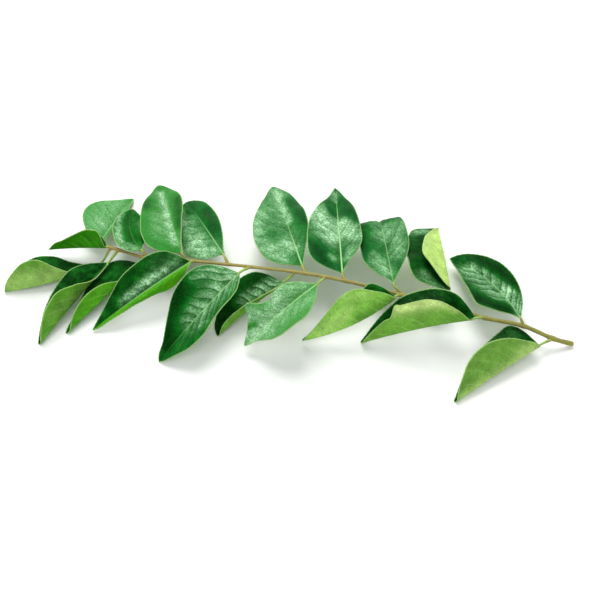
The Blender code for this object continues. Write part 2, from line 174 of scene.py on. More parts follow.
# upper, under: colours of the waxy upper side and of the matte underside.
# base_upper: colour of the upper side of the half at the cut end, painted lighter, as lit, than the other
# half.
# rib, rib_end: how pale the midrib's line is, from 0 to 1, and the share of the length at which it ends.
# pairs, veins: lateral veins on each side, and how dark they are above, from 0 to 1.
# sheen: strokes of painted sheen, each (share, across) to (share, across), reach in millimetres and
#     strength. share runs from base to tip, and across from -1 at the margin on the cut-end side to 1 at
#     the other. A strength below 0 is painted shade.
# fingers: how much the lateral veins break up that painted sheen, from 0 to 1.
# pale: such strokes of painted light on the underside, or of painted shade below 0.
# quilt, wave: how high the blade puffs up between its veins, and how far its margins wave up and down, in
#     millimetres.
Look = namedtuple(
    "Look",
    "upper under rib sheen pairs quilt wave fingers base_upper pale veins rib_end",
    defaults=(8, 0.2, 0.5, 0.35, None, (), 0.25, 0.95),
)
LOOKS = {
    "leaflet_far_1": Look("#0a4416", "#85b163", 0.4, (
        (0.75, 0.5, 0.3, 0.3, 2.6, 1.05), (0.05, -0.6, 0.3, -0.35, 2.4, 1.0),
        (0.3, -0.3, 0.75, -0.2, 1.7, 0.9), (0.3, -0.85, 0.75, -0.75, 2.2, -1.0),
        (0.1, 0.6, 0.35, 0.85, 2.4, -1.0),
    ), pairs=9, quilt=0.3, fingers=0.75, veins=0.4),
    "leaflet_far_2": Look("#053b0a", "#b4d670", 0.1, (
        (0.92, 0.5, 0.86, 0.8, 2.0, 0.7), (0.05, 0.6, 0.22, 0.6, 3.0, 0.5),
        (0.4, 0.5, 0.7, 0.6, 3.5, -0.6), (0.15, 0.15, 0.7, 0.2, 2.4, -0.8),
    ), pale=((0.5, -0.9, 0.9, -0.7, 2.2, 0.35),)),
    "leaflet_far_3": Look("#115822", "#85b163", 0.35, (
        (0.3, -0.5, 0.6, -0.7, 3.2, 0.6), (0.12, 0.3, 0.3, 0.7, 2.4, 0.7),
        (0.62, -0.1, 0.5, 0.0, 2.0, 0.6), (0.3, 0.9, 0.7, 0.9, 1.8, -0.6),
        (0.75, -0.3, 0.8, -0.8, 2.0, -0.8), (0.5, 0.4, 0.75, 0.3, 2.5, 0.3),
    ), quilt=0.26, fingers=0.35, veins=0.3),
    "leaflet_far_4": Look("#115423", "#85b163", 1.0, (
        (0.62, 0.9, 0.36, 0.25, 3.4, 1.1), (0.5, -0.3, 0.32, -0.8, 3.2, 1.0),
        (0.13, -0.5, 0.2, -0.6, 1.5, 0.6), (0.92, 0.2, 0.8, 0.1, 1.3, 0.6),
        (0.75, 0.45, 0.62, 0.25, 1.4, -0.5), (0.78, -0.6, 0.5, -0.9, 2.4, -0.6),
        (0.1, 0.6, 0.22, 0.75, 2.4, -0.8), (0.14, 0.4, 0.12, 0.3, 1.5, 0.7),
        (0.3, 0.4, 0.7, 0.3, 6.0, 0.2),
    ), quilt=0.3, fingers=0.35, veins=0.35),
    "leaflet_far_5": Look("#1c6228", "#85b163", 0.85, (
        (0.95, 0.0, 0.5, -0.15, 1.6, 0.8), (0.62, 0.9, 0.35, 0.9, 2.2, 0.6),
        (0.25, 0.8, 0.08, 0.6, 2.4, 0.6), (0.24, 0.2, 0.2, 0.1, 2.4, 0.7),
        (0.72, -0.6, 0.45, -0.85, 2.8, -0.7), (0.3, 0.45, 0.36, 0.5, 2.6, -0.3),
        (0.2, 0.5, 0.8, 0.3, 7.0, 0.42),
    ), rib_end=0.6),
    "leaflet_far_6": Look("#185c25", "#85b163", 0.5, (
        (0.08, 0.6, 0.3, 0.6, 3.8, 0.85), (0.4, 0.5, 0.65, 0.6, 3.4, 0.6),
        (0.85, 0.1, 0.92, -0.4, 2.4, -0.4), (0.35, -0.5, 0.7, -0.6, 2.2, -0.6),
        (0.9, 0.7, 0.7, 0.9, 1.3, 0.8),
    ), rib_end=0.85),
    "leaflet_far_7": Look("#2f7a2c", "#85b163", 0.2, (
        (0.85, 0.05, 0.12, 0.12, 1.4, 0.95), (0.5, 0.4, 0.25, 0.5, 2.5, 0.35),
        (0.62, 0.78, 0.72, 0.85, 1.8, -0.6), (0.3, -0.7, 0.65, -0.8, 1.6, -0.6),
        (0.2, 0.3, 0.75, 0.35, 4.0, 0.15),
    )),
    "leaflet_far_8": Look("#0a5a10", "#85b163", 0.1, (
        (0.15, 0.9, 0.8, 0.9, 1.5, 0.8), (0.3, 0.2, 0.9, 0.2, 2.2, -0.3),
        (0.06, 0.4, 0.12, 0.5, 1.6, 0.6), (0.3, -0.85, 0.7, -0.85, 1.2, 0.5),
    ), quilt=0.08),
    "leaflet_far_9": Look("#4a9048", "#85b163", 0.5, (
        (0.2, 0.5, 0.7, 0.4, 5.5, 0.5), (0.25, 0.2, 0.3, 0.35, 1.5, 0.5),
    ), quilt=0.1),
    "leaflet_near_1": Look("#053a0b", "#70a640", 0.1, (
        (0.15, 0.7, 0.35, 0.8, 2.5, 0.15),
    ), pale=(
        (0.05, -0.2, 0.9, -0.1, 2.2, 0.5), (0.08, -0.6, 0.2, -0.5, 2.0, 0.3),
    )),
    "leaflet_near_2": Look("#033509", "#6fab3c", 0.1, (
        (0.3, 0.7, 0.55, 0.7, 3.0, 0.15),
    ), quilt=0.12, pale=(
        (0.3, -0.95, 0.58, -0.9, 2.3, 1.0), (0.15, -0.9, 0.3, -0.95, 1.2, 0.5),
    )),
    "leaflet_near_3": Look("#063f0b", "#83c44a", 0.1, (), pale=(
        (0.8, -0.4, 0.45, -0.5, 2.5, 0.35), (0.1, -0.2, 0.4, -0.2, 1.8, -0.6),
        (0.2, -0.8, 0.4, -0.95, 1.6, 0.25),
    )),
    "leaflet_near_4": Look("#438a3c", "#85b163", 0.8, (
        (0.15, 0.7, 0.4, 0.85, 2.4, 0.9), (0.72, 0.85, 0.85, 0.6, 2.4, 0.8),
        (0.84, 0.9, 0.77, 0.45, 1.1, -1.7), (0.95, 0.0, 0.9, -0.5, 1.5, 0.7),
        (0.2, -0.5, 0.8, -0.5, 4.0, 0.75), (0.45, 0.4, 0.75, 0.2, 3.0, 0.8),
    ), wave=0.8),
    "leaflet_near_5": Look("#05380a", "#69a834", 0.4, (
        (0.05, 0.4, 0.5, 0.35, 2.8, 1.1), (0.2, 0.95, 0.8, 0.9, 2.2, -0.6),
        (0.7, 0.2, 0.95, 0.4, 3.0, -0.7),
    ), pairs=9, quilt=0.3, fingers=0.9, veins=0.35),
    "leaflet_near_6": Look("#0a5216", "#85b163", 0.45, (
        (0.04, -0.4, 0.5, -0.4, 2.6, 0.65), (0.5, -0.4, 0.8, -0.4, 2.2, 0.25),
        (0.1, 0.8, 0.3, 0.8, 2.2, 0.8), (0.08, 0.3, 0.6, 0.25, 2.9, 0.95),
        (0.4, 0.9, 0.85, 0.6, 3.6, -1.0),
    ), pairs=10, quilt=0.3, fingers=0.8, veins=0.4),
    "leaflet_near_7": Look("#063f0b", "#5e9e28", 0.5, (
        (0.2, 0.26, 0.6, 0.26, 0.95, 0.75), (0.1, 0.34, 0.66, 0.32, 1.9, 0.42),
        (0.1, 0.8, 0.4, 0.8, 2.4, 0.1), (0.4, 0.95, 0.75, 0.9, 2.2, -0.6),
    ), pairs=11, quilt=0.26, fingers=0.45, base_upper="#4c9a0e", veins=0.2),
    "leaflet_near_8": Look("#063c0b", "#52a51c", 0.1, ()),
    "leaflet_near_9": Look("#033007", "#5ea52a", 0.1, (), pale=((0.35, -0.3, 0.7, -0.5, 2.5, 0.15),)),
    "leaflet_near_10": Look("#053806", "#59a424", 0.1, (), pale=((0.35, -0.8, 0.9, -0.6, 4.5, 0.45),)),
    "leaflet_terminal": Look("#0a470c", "#2f8a02", 0.1, ()),
}

VEIN_FIRST = 0.05  # share of the length at which the first lateral vein leaves the midrib
VEIN_RISE = 0.25  # how far along the length a vein climbs on its way to the margin
VEIN_CURVE = 1.25
VEIN_JITTER = 0.22
VEIN_LINE = 0.09  # half the width of a vein's line, as a share of the gap between two veins
VEIN_END = (0.4, 3.0)  # distances from the margin between which a vein's line fades out
RIDGE_DROP = 0.82  # share of the gap between two veins at which the painted highlight on the ridge between them drops
MARGIN_LINE = (0.08, 0.32)  # distances from the margin between which its pale line fades out
RIB_SINK = 0.16  # depth of the groove over the midrib
RIB_SPREAD = 0.45
TOOTH_LENGTH = 1.25  # the margin's shallow teeth
TOOTH_DEPTH = 0.07
QUILT_FROM = 1.2  # distance from the midrib at which the quilting has risen in full
QUILT_ROUND = 0.4  # how round the puffs are, and their height at which the blade is level
QUILT_LEVEL = 0.6
ARCH = 0.4  # how high each half of a blade bulges
CRUMPLE_FROM = 2  # distance from the midrib over which the unevenness rises
WAVE_SIZE = 6.5  # length of the margins' waves, and the width over which they are told apart
WAVE_SPAN = 6.0
WAVE_SWING = 1.6
CRUMPLES = ((3.2, 0.2, 40), (8.0, 0.4, 80))  # size, height and seed of the unevenness all over a blade
STALK_ROWS = 14
RIB_ROWS = 60
RIB_COLUMNS = 10
RIB_REACH = 0.96  # share of the blade at which the midrib below it ends
RIB_TAPER = 0.8
STALK_FOOT = 0.16  # how much thicker a stalk is where it joins the rachis, and at its middle
STALK_BELLY = 0.05
RIB_SETTLE = 0.04  # share of the blade over which the midrib sinks to its underside
RIB_RADIUS = 0.36
RIB_LINE = 0.36  # half the pale line along the midrib, at its base, and how much thinner it is at its end
RIB_LINE_TAPER = 0.6
RIB_FADE = 0.5  # share of the length over which that line fades out
GREENING = {FAR: 0.6, NEAR: 1.8}  # how fast a row's stalks turn from tan to green


# ---------------------------------------------------------------- the route and the blades


def hermite(share, start, end, leave, arrive):
    """Point of the cubic from start to end that leaves and arrives with those tangents."""
    return (
        (2 * share**3 - 3 * share**2 + 1) * start
        + (share**3 - 2 * share**2 + share) * leave
        + (3 * share**2 - 2 * share**3) * end
        + (share**3 - share**2) * arrive
    )


def smooth(knots, place):
    """The point at a place, its first coordinate, on a smooth curve through the knots."""
    knots = np.array(knots)
    piece = int(np.clip(np.searchsorted(knots[:, 0], place) - 1, 0, len(knots) - 2))
    before, start, end, after = knots[np.clip(np.arange(piece - 1, piece + 3), 0, len(knots) - 1)]
    run = end[0] - start[0]
    slope_start = (end - before) / (end[0] - before[0])
    slope_end = (after - start) / (after[0] - start[0])
    return hermite((place - start[0]) / run, start, end, slope_start * run, slope_end * run)


def rachis_middle(along):
    """The middle of the rachis at a distance from its cut end."""
    _, sideways, height = smooth(RACHIS_ROUTE, along)
    return np.array([-along, sideways, height])


def rachis_line():
    """Distances from the cut end, close together, and the middle of the rachis at each."""
    alongs = np.linspace(0, RACHIS_LENGTH, RACHIS_ROWS + 1)
    return alongs, np.array([rachis_middle(along) for along in alongs])


def rachis_radius(along):
    """Radius of the rachis at a distance from its cut end, without its swellings."""
    taper = (RACHIS_TIP_RADIUS - RACHIS_BASE_RADIUS) * along / RACHIS_LENGTH
    return RACHIS_BASE_RADIUS + taper + CUT_END_FLARE * np.exp(-along / CUT_END_REACH)


def direction(row, heading, pitch):
    """Unit vector from the rachis: heading turns from its tip towards the row's side, pitch lifts."""
    heading, pitch = math.radians(heading), math.radians(pitch)
    level = math.cos(pitch)
    return np.array([-math.cos(heading) * level, row * math.sin(heading) * level, math.sin(pitch)])


def stalk_start(leaf):
    """Where on the rachis the leaflet's stalk starts, and which way it goes."""
    pitch = math.degrees(math.asin(leaf.lift / leaf.stalk))
    return rachis_middle(leaf.along), direction(leaf.row, leaf.stalk_heading, pitch)


def midrib(leaf):
    """Points along the midrib, and the ways onwards, to the blade's tip side and up at each."""
    root, stalk_way = stalk_start(leaf)
    base = root + stalk_way * leaf.stalk
    middle = (np.arange(MIDRIB_STEPS) + 0.5) / MIDRIB_STEPS
    late = np.clip((middle - TIP_BEND_FROM) / TIP_BEND_RUN, 0, 1)
    turn_down = leaf.bend * (middle - 0.5) + leaf.tip_bend * late
    heading = leaf.heading + leaf.sway * (0.5 - middle)
    pitch = 0.0
    for _ in range(PITCH_ROUNDS):  # settles the pitch so that the tip ends at its height
        ways = np.array([direction(leaf.row, h, pitch - d) for h, d in zip(heading, turn_down)])
        reach = base + np.vstack([np.zeros(3), np.cumsum(ways, axis=0)]) * leaf.length / MIDRIB_STEPS
        pitch += math.degrees((leaf.tip_height - reach[-1, 2]) / leaf.length)
    ways = np.vstack([ways, ways[-1:]])
    asides = np.cross((0, 0, leaf.row), ways)
    asides /= np.linalg.norm(asides, axis=1, keepdims=True)
    ups = np.cross(ways, asides) * leaf.row
    return reach, ways, asides, ups


def half_width(leaf, half, share):
    """Width of one half, which starts as wide as the stalk and ends as wide as the tip's own end."""
    widths = leaf.tip_half if half == TIP_SIDE else leaf.base_half
    knots = list(zip(OUTLINE_PLACES, (BASE_HALF_WIDTH, *widths, TIP_HALF_WIDTH)))
    steps = np.linspace(0, 1, ROWS + 1)
    full = np.interp(share, steps, [smooth(knots, step)[1] for step in steps])
    for side, place, span, widening, _ in leaf.ruffles:
        if side == half:
            full = full * (1 + widening * np.exp(-(((share - place) / span) ** 2)))
    teeth = TOOTH_DEPTH * np.abs(np.sin(math.pi * share * leaf.length / TOOTH_LENGTH))
    least = BASE_HALF_WIDTH + (TIP_HALF_WIDTH - BASE_HALF_WIDTH) * share
    return np.maximum(full + teeth, least)


def folded(out, roll, fold):
    """Sideways and upward offset at a distance out from the midrib of a half that folds up beside it."""
    fold = fold if abs(fold) > LEAST_FOLD else LEAST_FOLD
    ramp = np.minimum(out, FOLD_RUN)
    turned = roll + fold * ramp / FOLD_RUN
    beyond = out - ramp
    sideways = (np.sin(turned) - np.sin(roll)) * FOLD_RUN / fold + np.cos(roll + fold) * beyond
    upward = (np.cos(roll) - np.cos(turned)) * FOLD_RUN / fold + np.sin(roll + fold) * beyond
    return sideways, upward


def vein_phase(pairs, share, across):
    """Counts the lateral veins: a whole number on each vein, a half between two. The sides alternate."""
    climb = share - VEIN_FIRST - VEIN_RISE * np.abs(across) ** VEIN_CURVE
    # Two waves that run differently on the two halves, so that the veins aren't evenly spaced.
    jitter = np.sin(9 * share + 2 * np.sign(across)) + 0.5 * np.sin(24 * share + 5 * across)
    return pairs * climb + VEIN_JITTER * jitter + 0.5 * (across > 0)


def smooth_noise(points, size, seed):
    """Soft noise from -1 to 1 with bumps of about that size in millimetres."""
    offset = Vector([seed * shift for shift in NOISE_SHIFTS])
    heights = [noise.noise(Vector(point) / size + offset) for point in points.reshape(-1, 3)]
    return np.array(heights).reshape(points.shape[:-1])


def strokes_over(leaf, strokes, share, across, out):
    """The sum of a leaflet's strokes, each soft-edged, at points of its blade."""
    along, aside = share * leaf.length, np.sign(across) * out
    total = np.zeros_like(share)
    for *ends, reach, strength in strokes:
        places = np.array(ends).reshape(2, 2)
        sides = [half_width(leaf, TIP_SIDE if side > 0 else BASE_SIDE, place) for place, side in places]
        (x, y), (to_x, to_y) = np.stack([places[:, 0] * leaf.length, places[:, 1] * sides], axis=1)
        run = (to_x - x) ** 2 + (to_y - y) ** 2 + TINY
        part = np.clip(((along - x) * (to_x - x) + (aside - y) * (to_y - y)) / run, 0, 1)
        away = np.hypot(along - x - part * (to_x - x), aside - y - part * (to_y - y))
        total += strength * np.exp(-((away / reach) ** 2))
    return total


def along_midrib(share, curves):
    """Each of the midrib's curves at shares of the blade's length."""
    steps = np.linspace(0, 1, MIDRIB_STEPS + 1)
    return [
        np.stack([np.interp(share, steps, curve[:, axis]) for axis in range(3)], axis=-1)
        for curve in curves
    ]


def leaf_surface(leaf, share, across):
    """Points of the blade's middle surface, with the distances from its midrib and its margin."""
    reach, _, asides, ups = midrib(leaf)
    middle, aside, up = along_midrib(share, (reach, asides, ups))
    widths = [half_width(leaf, half, share) for half in (TIP_SIDE, BASE_SIDE)]
    width = np.where(across > 0, *widths)
    out = np.abs(across) * width
    roll = np.radians(leaf.roll + leaf.twist * (share - 0.5))
    tip_side = folded(out, roll, math.radians(leaf.fold_tip))
    base_side = folded(out, -roll, math.radians(leaf.fold_base))
    sideways = np.where(across > 0, tip_side[0], -base_side[0])
    upward = np.where(across > 0, tip_side[1], base_side[1])
    for side, place, span, _, lift in leaf.ruffles:
        on_side = across > 0 if side == TIP_SIDE else across < 0
        upward = upward + on_side * lift * np.exp(-(((share - place) / span) ** 2)) * across**2
    points = middle + aside * sideways[..., None] + up * upward[..., None]
    return points, out, width - out


def relief(leaf, look, seed, share, across, out, points):
    """Height over the smooth blade: puffs between veins, arched halves, wavy margins, the rib's groove."""
    reach = np.abs(across)
    marginal = reach**1.5  # from 0 on the midrib to 1 on the margin
    risen = np.clip(out / QUILT_FROM, 0, 1)
    open_width = np.sin(math.pi * np.clip(share, 0, 1)) ** 0.5  # 0 at the blade's base and tip
    between = np.abs(np.sin(math.pi * vein_phase(look.pairs, share, across)))
    quilt = look.quilt * (between**QUILT_ROUND - QUILT_LEVEL) * risen * (1 - marginal)
    arch = ARCH * np.sin(math.pi * np.clip(reach, 0, 1) ** 0.8) * open_width
    unrolled = np.stack([share * leaf.length, across * WAVE_SPAN, share * 0], axis=-1)
    waves = smooth_noise(unrolled, WAVE_SIZE, seed)
    wave = look.wave * waves * marginal * open_width * WAVE_SWING
    crumple = sum(height * smooth_noise(points, size, seed + own) for size, height, own in CRUMPLES)
    crumple = crumple * open_width * (1 - np.exp(-((out / CRUMPLE_FROM) ** 2)))
    groove = RIB_SINK * np.exp(-((out / RIB_SPREAD) ** 2))
    return (quilt + arch) * risen + wave + crumple - groove


# ---------------------------------------------------------------- meshes


def bent_grid(rows, columns, place):
    """A bmesh grid whose vertices go where place puts their (row, column) shares, each from 0 to 1, and
    the facts that place gives, by vertex."""
    mesh = bmesh.new()
    bmesh.ops.create_grid(mesh, x_segments=rows, y_segments=columns, size=1)
    flat = np.array([vertex.co for vertex in mesh.verts])
    row = np.rint((flat[:, 0] + 1) / 2 * rows).astype(int)
    column = np.rint((flat[:, 1] + 1) / 2 * columns).astype(int)
    shares = np.meshgrid(np.linspace(0, 1, rows + 1), np.linspace(0, 1, columns + 1), indexing="ij")
    points, facts = place(*shares)
    for vertex, i, j in zip(mesh.verts, row, column):
        vertex.co = points[i, j]
    return mesh, {name: values[row, column] for name, values in facts.items()}


def new_object(name, data):
    """An object with that data in the scene."""
    made = bpy.data.objects.new(name, data)
    bpy.context.scene.collection.objects.link(made)
    return made


def finish_mesh(name, mesh, facts, materials):
    """Turns a bmesh in route millimetres into a piece in the frame, with its facts as point attributes."""
    bmesh.ops.translate(mesh, verts=mesh.verts, vec=ROUTE_SHIFT)
    bmesh.ops.scale(mesh, verts=mesh.verts, vec=(MM, MM, MM))
    data = bpy.data.meshes.new(name)
    mesh.to_mesh(data)
    mesh.free()
    for key, values in facts.items():
        kind, field = ("FLOAT_COLOR", "color") if values.ndim == 2 else ("FLOAT", "value")
        layer = data.attributes.new(key, kind, "POINT")
        layer.data.foreach_set(field, np.ravel(values).astype(np.float32))
    data.shade_smooth()
    for finish in materials:
        data.materials.append(finish)
    piece = new_object(name, data)
    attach(piece, "root")
    return piece


def wrap(shares, middles, asides, ups, radii):
    """Tube points round a line of middles: the second share goes once round."""
    angle = shares[1] * 2 * math.pi
    ring = np.cos(angle)[..., None] * asides[:, None] + np.sin(angle)[..., None] * ups[:, None]
    return middles[:, None] + ring * radii[..., None]


def close_tube(mesh, alongs):
    """Keeps how far along each vertex is, joins a wrapped grid's seam and fills its two ends."""
    layer = mesh.verts.layers.float.new("along")
    for vertex, along in zip(mesh.verts, alongs):
        vertex[layer] = along
    bmesh.ops.remove_doubles(mesh, verts=mesh.verts, dist=SEAM_GAP)
    ends = [edge for edge in mesh.edges if edge.is_boundary]
    bmesh.ops.holes_fill(mesh, edges=ends, sides=0)
    bmesh.ops.recalc_face_normals(mesh, faces=mesh.faces)


# ---------------------------------------------------------------- materials


def linear(colour):
    """An sRGB hex colour as linear RGBA."""
    shares = [int(colour[i : i + 2], 16) / 255 for i in (1, 3, 5)]
    return (*[c / 12.92 if c <= 0.04045 else ((c + 0.055) / 1.055) ** 2.4 for c in shares], 1)


def add_node(tree, kind, inputs=(), output=0, **settings):
    """Adds a node, sets it, feeds its sockets with values or other sockets, and gives one output."""
    made = tree.nodes.new(kind)
    for name, value in settings.items():
        setattr(made, name, value)
    for name, value in dict(inputs).items():
        if isinstance(value, bpy.types.NodeSocket):
            tree.links.new(value, made.inputs[name])
        else:
            made.inputs[name].default_value = value
    return made.outputs[output] if made.outputs else made


def fact(tree, name, output=2):
    """One of the facts of a mesh's points: a number, or with output 0 a colour."""
    return add_node(tree, "ShaderNodeAttribute", output=output, attribute_name=name)


def object_place(tree):
    """The place on an object, in metres, for the patterns to follow."""
    return add_node(tree, "ShaderNodeTexCoord", output=3)


def texture_noise(tree, place, scale, detail):
    """Soft noise whose bumps are a metre divided by the scale."""
    return add_node(tree, "ShaderNodeTexNoise", {"Vector": place, "Scale": scale, "Detail": detail})


def remap(tree, value, start, end, low=0.0, high=1.0):
    """Goes from low to high as the value goes from start to end, and no further."""
    return add_node(tree, "ShaderNodeMapRange", {0: value, 1: start, 2: end, 3: low, 4: high})


def times(tree, first, second, clamped=False):
    """The product of two numbers, kept between 0 and 1 if it is clamped."""
    inputs = {0: first, 1: second}
    return add_node(tree, "ShaderNodeMath", inputs, operation="MULTIPLY", use_clamp=clamped)


def blend(tree, share, first, second):
    """A colour that goes from the first to the second, a hex colour, as the share goes from 0 to 1."""
    inputs = {0: share, 6: first, 7: linear(second)}
    return add_node(tree, "ShaderNodeMix", inputs, output=2, data_type="RGBA")


def new_material(name):
    """A material and its empty node tree."""
    made = bpy.data.materials.new(name)
    made.use_nodes = True
    made.node_tree.nodes.clear()
    return made, made.node_tree


def set_surface(tree, sockets, glow="#ffffff", share=0.0):
    """Ends a material: a skin with those sockets. A share of it lets light through, in the glow colour."""
    surface = add_node(tree, "ShaderNodeBsdfPrincipled", sockets)
    if share:
        through = add_node(tree, "ShaderNodeBsdfTranslucent", {"Color": linear(glow)})
        surface = add_node(tree, "ShaderNodeMixShader", {0: share, 1: surface, 2: through})
    add_node(tree, "ShaderNodeOutputMaterial", {"Surface": surface})


def leaf_masks(tree):
    """Sockets that tell where on a blade a point is: on a lateral vein, on the midrib, at the margin, or
    how high on the painted highlight of the ridge that brightens towards each lateral vein and drops at
    it."""
    part = add_node(tree, "ShaderNodeMath", {0: fact(tree, "vein")}, operation="FRACT")
    off_vein = add_node(tree, "ShaderNodeMath", {0: part, 1: 0.5}, operation="PINGPONG")
    edge = fact(tree, "from_margin")
    line = remap(tree, off_vein, 0.0, VEIN_LINE, 1.0, 0.0)
    inside = remap(tree, edge, *VEIN_END)
    drop = remap(tree, part, RIDGE_DROP, 1.0, 1.0, 0.0)
    return {
        "vein": times(tree, line, inside),
        "lit_ridge": times(tree, part, drop),
        "rib": remap(tree, fact(tree, "from_rib"), 0.5, 1.0, 1.0, 0.0),
        "margin": remap(tree, edge, *MARGIN_LINE, 1.0, 0.0),
    }


def upper_side():
    """Fresh curry leaf, waxy upper side: a thin wax on a finely pebbled deep green skin. Where strokes of
    painted sheen lie it turns a pale grey-green highlight, broken into specks by the pebbles; where
    strokes of painted shade lie the green is nearly black. The midrib and the margin stand out paler."""
    made, tree = new_material("waxy_leaf_upper_side")
    masks = leaf_masks(tree)
    place = object_place(tree)
    sheen = fact(tree, "sheen")
    # Patches of 3 mm where the green is lighter, pebbles of 0.5 mm and specks of 0.3 mm.
    blotch = texture_noise(tree, place, 330.0, 5.0)
    pebble = texture_noise(tree, place, 2000.0, 2.5)
    fleck = texture_noise(tree, place, 3300.0, 1.0)
    # The net of the smallest veins, in meshes of 1.4 mm.
    sockets = {"Vector": place, "Scale": 700.0}
    cells = add_node(tree, "ShaderNodeTexVoronoi", sockets, feature="DISTANCE_TO_EDGE")
    lighter = remap(tree, blotch, 0.42, 0.75, 0.0, 0.45)
    colour = blend(tree, lighter, fact(tree, "upper", output=0), "#1f8a26")
    # Painted shade: where the strokes fall below 0 the green turns nearly black.
    painted_shade = times(tree, sheen, -1.0, clamped=True)
    colour = blend(tree, painted_shade, colour, "#012c04")
    # The painted sheen: strong on the patches and the pebbles, weak along the net, broken up by the
    # lateral veins.
    painted_sheen = remap(tree, blotch, 0.3, 0.7, 0.55, 1.25)
    grain = remap(tree, pebble, 0.35, 0.65, 0.68, 1.15)
    net = remap(tree, cells, 0.0, 0.14, 0.7, 1.06)
    sockets = {0: fact(tree, "fingers"), 2: 1.0, 3: masks["lit_ridge"]}
    broken = add_node(tree, "ShaderNodeMix", sockets, data_type="FLOAT")
    for share in (grain, net, broken):
        painted_sheen = times(tree, painted_sheen, share)
    painted_sheen = times(tree, painted_sheen, sheen, clamped=True)
    # Painted highlight: a weak sheen makes the green brighter, a strong one pale grey-green.
    colour = blend(tree, times(tree, painted_sheen, 0.8), colour, "#318a2e")
    painted_highlight = add_node(tree, "ShaderNodeMath", {0: painted_sheen, 1: 1.35}, operation="POWER")
    colour = blend(tree, painted_highlight, colour, "#a7d1a5")
    # The pebbles' tops and hollows, and the specks.
    mottle = remap(tree, pebble, 0.35, 0.65, 0.82, 1.12)
    colour = add_node(tree, "ShaderNodeHueSaturation", {"Value": mottle, "Color": colour})
    colour = blend(tree, remap(tree, fleck, 0.6, 0.76, 0.0, 0.12), colour, "#7fb57a")
    # The dark lateral veins, the pale midrib and the pale margin.
    colour = blend(tree, times(tree, masks["vein"], fact(tree, "dark_veins")), colour, "#023006")
    colour = blend(tree, times(tree, masks["rib"], fact(tree, "rib_pale")), colour, "#9ccb86")
    colour = blend(tree, times(tree, masks["margin"], 0.85), colour, "#93bd78")
    rough = remap(tree, blotch, 0.3, 0.7, 0.32, 0.48)
    bump = add_node(tree, "ShaderNodeBump", {"Height": pebble, "Distance": 0.0003, "Strength": 0.5})
    sockets = {"Base Color": colour, "Roughness": rough, "Normal": bump}
    sockets.update({"Specular IOR Level": 0.06, "Specular Tint": linear("#60c060")})
    set_surface(tree, sockets, glow="#2f8a10", share=0.06)
    return made


def underside():
    """Fresh curry leaf, underside: no wax, so it is matte and pale yellow-green, mottled and dotted with
    dark oil glands, with faintly paler veins, and with painted light and painted shade in strokes."""
    made, tree = new_material("matte_leaf_underside")
    masks = leaf_masks(tree)
    place = object_place(tree)
    pale = fact(tree, "pale")
    # Patches of 3 mm, a skin grain of 0.5 mm and oil glands about 1 mm apart.
    blotch = texture_noise(tree, place, 330.0, 4.0)
    grain = texture_noise(tree, place, 2000.0, 2.0)
    glands = add_node(tree, "ShaderNodeTexVoronoi", {"Vector": place, "Scale": 900.0})
    # Painted light where the underside's strokes rise above 0, painted shade where they fall below.
    colour = blend(tree, pale, fact(tree, "under", output=0), "#cdea8c")
    painted_underside_shade = times(tree, pale, -1.0, clamped=True)
    colour = blend(tree, painted_underside_shade, colour, "#2f7010")
    patch = remap(tree, blotch, 0.3, 0.7, 1.22, 0.8)
    rough = remap(tree, grain, 0.3, 0.7, 0.82, 1.16)
    mottle = times(tree, patch, rough)
    colour = add_node(tree, "ShaderNodeHueSaturation", {"Value": mottle, "Color": colour})
    colour = blend(tree, remap(tree, glands, 0.1, 0.24, 0.4, 0.0), colour, "#335f22")
    colour = blend(tree, times(tree, masks["vein"], 0.24), colour, "#b9dd80")
    colour = blend(tree, times(tree, masks["margin"], 0.4), colour, "#b5d583")
    bump = add_node(tree, "ShaderNodeBump", {"Height": grain, "Distance": 0.0002, "Strength": 0.5})
    sockets = {"Base Color": colour, "Roughness": 0.6, "Specular IOR Level": 0.1, "Normal": bump}
    set_surface(tree, sockets, glow="#84c42e", share=0.15)
    return made


def leaf_margin():
    """Edge of the blade: a hard pale yellow-green rim that outlines every leaflet, in patches of 2 mm."""
    made, tree = new_material("pale_leaf_margin")
    tint = texture_noise(tree, object_place(tree), 500.0, 2.0)
    colour = blend(tree, tint, linear("#a9c87a"), "#6f9a44")
    set_surface(tree, {"Base Color": colour, "Roughness": 0.5, "IOR": 1.45})
    return made


def plain(name, colour, roughness):
    """A material of one colour with an even, matte surface."""
    made, tree = new_material(name)
    set_surface(tree, {"Base Color": linear(colour), "Roughness": roughness})
    return made


def stem_skin(name, first, second):
    """Young green stem: a finely ridged, slightly hairy skin in olive and tan. Along the stem its colour
    goes from the first to the second."""
    made, tree = new_material(name)
    # Flecks 0.5 mm thick, drawn out four times as long along the stem.
    sockets = {"Vector": object_place(tree), "Scale": (0.25, 1.0, 1.0)}
    fleck = texture_noise(tree, add_node(tree, "ShaderNodeMapping", sockets), 2000.0, 4.0)
    colour = blend(tree, fact(tree, "along"), linear(first), second)
    colour = blend(tree, remap(tree, fleck, 0.5, 0.68, 0.0, 0.6), colour, "#6f5426")
    bump = add_node(tree, "ShaderNodeBump", {"Height": fleck, "Distance": 0.0001, "Strength": 0.6})
    set_surface(tree, {"Base Color": colour, "Roughness": 0.55, "IOR": 1.45, "Normal": bump})
    return made


# ---------------------------------------------------------------- pieces


